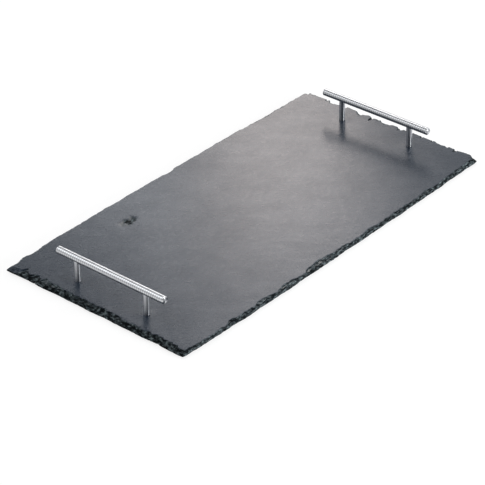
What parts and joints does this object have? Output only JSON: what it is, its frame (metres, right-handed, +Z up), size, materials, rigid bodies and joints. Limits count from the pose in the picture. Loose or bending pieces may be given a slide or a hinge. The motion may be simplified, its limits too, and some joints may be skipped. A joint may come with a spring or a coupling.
{
  "type": "slate serving board",
  "caption": "Rectangular slate serving board with hand-dressed broken edges and a raised steel bar handle on posts at each end.",
  "frame": {"origin": "on the table under the middle of the board, at the level of the pads' undersides", "axes": "+X along the board's length towards the right handle, +Y across the board towards its back, +Z up"},
  "size_m": [0.4999, 0.2539, 0.0397],
  "materials": {
    "slate": "oiled cleft slate, semi-gloss top, rough dark broken edges",
    "bar_steel": "satin, brushed round the bar",
    "post_steel": "finely turned, shinier than the bar",
    "fastener_steel": "plain bright steel",
    "pad_rubber": "matt black rubber"
  },
  "bodies": {
    "root": {"slate_slab": "slate", "left_bar": "bar_steel", "right_bar": "bar_steel", "left_front_post": "post_steel", "left_back_post": "post_steel", "right_front_post": "post_steel", "right_back_post": "post_steel", "left_front_stud": "fastener_steel", "left_back_stud": "fastener_steel", "right_front_stud": "fastener_steel", "right_back_stud": "fastener_steel", "left_front_screw": "fastener_steel", "left_back_screw": "fastener_steel", "right_front_screw": "fastener_steel", "right_back_screw": "fastener_steel", "left_front_washer": "fastener_steel", "left_back_washer": "fastener_steel", "right_front_washer": "fastener_steel", "right_back_washer": "fastener_steel", "left_front_pad": "pad_rubber", "left_back_pad": "pad_rubber", "right_front_pad": "pad_rubber", "right_back_pad": "pad_rubber"}
  },
  "joints": []
}
